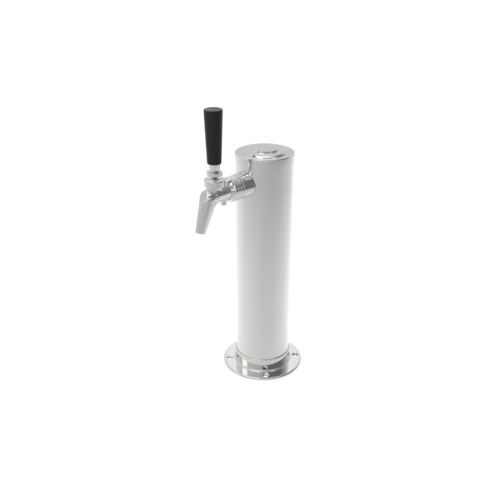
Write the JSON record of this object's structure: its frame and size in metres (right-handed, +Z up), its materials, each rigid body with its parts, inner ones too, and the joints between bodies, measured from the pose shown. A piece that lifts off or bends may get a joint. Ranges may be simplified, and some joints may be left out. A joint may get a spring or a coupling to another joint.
{
  "type": "draft beer tower",
  "caption": "Draft beer dispenser: a polished single-tap column tower on a bolted round flange, with a chromed lever faucet and a black tap handle",
  "frame": {"origin": "centre of the underside of the base flange, in the plane of the bar top", "axes": "+Z up along the column, -Y toward the drinker (the faucet points along -Y), +X to the faucet's left as it looks at the drinker"},
  "size_m": [0.1142, 0.1758, 0.3864],
  "materials": {
    "polished_steel": "mirror polished stainless steel sheet, seen as a bright grey mirror",
    "chrome_plate": "bright chrome plate over cast and turned brass",
    "stainless": "turned stainless steel",
    "plain_brass": "turned brass, not plated",
    "black_plastic": "moulded black plastic with a satin surface",
    "black_rubber": "dull black rubber",
    "nylon": "milky white nylon",
    "foam": "dark grey closed-cell foam"
  },
  "bodies": {
    "tower": {"base_flange": "polished_steel", "column_tube": "polished_steel", "foam_lining": "foam", "shank_collar": "chrome_plate", "shank": "stainless", "shank_saddle": "nylon", "shank_lock_nut": "plain_brass", "coupling_nut": "chrome_plate", "coupling_snap_ring": "stainless", "coupling_washer": "black_rubber", "tailpiece_nut": "plain_brass", "tailpiece_washer": "black_rubber", "tailpiece": "stainless", "faucet_body": "chrome_plate", "barrel_plug": "chrome_plate", "lever_seat": "nylon", "lever_seal": "black_rubber", "bonnet": "chrome_plate"},
    "lever": {"lever": "stainless", "lever_ring": "chrome_plate", "handle_ferrule": "chrome_plate", "tap_handle": "black_plastic", "handle_insert": "plain_brass"},
    "plunger": {"valve_plunger": "stainless", "valve_washer": "black_rubber", "plunger_nut": "plain_brass"},
    "cap": {"top_cap": "polished_steel"}
  },
  "joints": [
    {"name": "lever_pull", "type": "hinge", "parent": "tower", "child": "lever", "pos_m": [0, -0.087, 0.295], "axis": [1, 0, 0], "range_deg": [0, 23]},
    {"name": "plunger_slide", "type": "slide", "parent": "tower", "child": "plunger", "axis": [0, 1, 0], "range_m": [0, 0.0053]},
    {"name": "cap_lift", "type": "slide", "parent": "tower", "child": "cap", "axis": [0, 0, 1], "range_m": [0, 0.03]}
  ],
  "couplings": [
    {"joint": "plunger_slide", "follows": "lever_pull", "m_per_rad": 0.01283}
  ]
}
